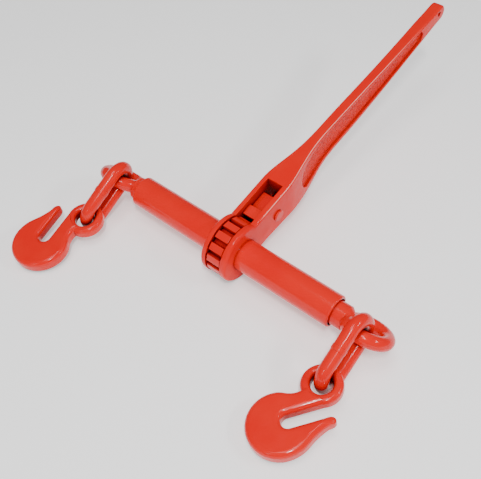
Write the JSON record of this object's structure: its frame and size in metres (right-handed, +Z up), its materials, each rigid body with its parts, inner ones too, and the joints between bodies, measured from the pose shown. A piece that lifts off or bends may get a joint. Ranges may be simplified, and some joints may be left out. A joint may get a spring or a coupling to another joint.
{
  "type": "load binder",
  "caption": "Ratchet load binder: a long forged handle turns a barrel that draws in two threaded ring eyes, each with a chain link and a grab hook.",
  "frame": {"origin": "centre of the binder's bounding box in plan, at the level it stands on", "axes": "+X along the barrel towards the left-handed screw, +Y the way the handle points, +Z up"},
  "size_m": [0.388, 0.5356, 0.1344],
  "materials": {
    "handle": "glossy red paint on a forging",
    "pawl": "glossy red paint",
    "pawl_pin": "glossy red paint over the assembled pin",
    "pin_ring": "bright spring steel",
    "plunger": "plain steel",
    "spring": "spring steel wire",
    "barrel": "glossy red paint on tube",
    "gear": "glossy red paint on a forged gear",
    "gear_pins": "plain steel dowels",
    "thread_nut": "machined steel",
    "screw_eye": "glossy red paint on the eye, oiled steel on the thread",
    "link": "glossy red paint on welded chain",
    "hook": "glossy red paint on a forging"
  },
  "bodies": {
    "handle": {"handle": "handle", "pawl_pin": "pawl_pin", "pawl_pin_ring": "pin_ring", "detent_spring": "spring"},
    "pawl": {"pawl": "pawl"},
    "plunger": {"detent_plunger": "plunger"},
    "barrel": {"barrel_tube": "barrel", "ratchet_gear": "gear", "gear_pins": "gear_pins", "right_thread_nut": "thread_nut", "left_thread_nut": "thread_nut"},
    "right_screw": {"right_screw_eye": "screw_eye"},
    "left_screw": {"left_screw_eye": "screw_eye"},
    "right_link": {"right_link": "link"},
    "left_link": {"left_link": "link"},
    "right_hook": {"right_hook": "hook"},
    "left_hook": {"left_hook": "hook"}
  },
  "joints": [
    {"name": "barrel_turn", "type": "hinge", "parent": "handle", "child": "barrel", "pos_m": [0.00409, -0.11942, 0.0319], "axis": [1, 0, 0], "range_deg": [0, 6840]},
    {"name": "right_screw_travel", "type": "slide", "parent": "barrel", "child": "right_screw", "axis": [1, 0, 0], "range_m": [0, 0.09662]},
    {"name": "left_screw_travel", "type": "slide", "parent": "barrel", "child": "left_screw", "axis": [-1, 0, 0], "range_m": [0, 0.09662]},
    {"name": "pawl_rock", "type": "hinge", "parent": "handle", "child": "pawl", "pos_m": [0.00409, -0.06513, 0.04564], "axis": [1, 0, 0], "range_deg": [-16, 16]},
    {"name": "plunger_slide", "type": "slide", "parent": "handle", "child": "plunger", "axis": [0, 0.9694, 0.2453], "range_m": [0, 0.002], "stiffness_N_per_m": 1500},
    {"name": "right_link_swing", "type": "hinge", "parent": "right_screw", "child": "right_link", "pos_m": [0.16309, -0.13567, 0.04328], "axis": [1, 0, 0], "range_deg": [-45, 35]},
    {"name": "right_hook_swing", "type": "hinge", "parent": "right_link", "child": "right_hook", "pos_m": [0.16309, -0.17127, 0.02314], "axis": [1, 0, 0], "range_deg": [-60, 35]},
    {"name": "left_link_swing", "type": "hinge", "parent": "left_screw", "child": "left_link", "pos_m": [-0.14691, -0.13403, 0.04416], "axis": [1, 0, 0], "range_deg": [-28, 35]},
    {"name": "left_hook_swing", "type": "hinge", "parent": "left_link", "child": "left_hook", "pos_m": [-0.14691, -0.16893, 0.02442], "axis": [1, 0, 0], "range_deg": [-30, 35]}
  ],
  "couplings": [
    {"joint": "right_screw_travel", "follows": "barrel_turn", "m_per_rad": 0.00080851},
    {"joint": "left_screw_travel", "follows": "barrel_turn", "m_per_rad": 0.00080851}
  ]
}
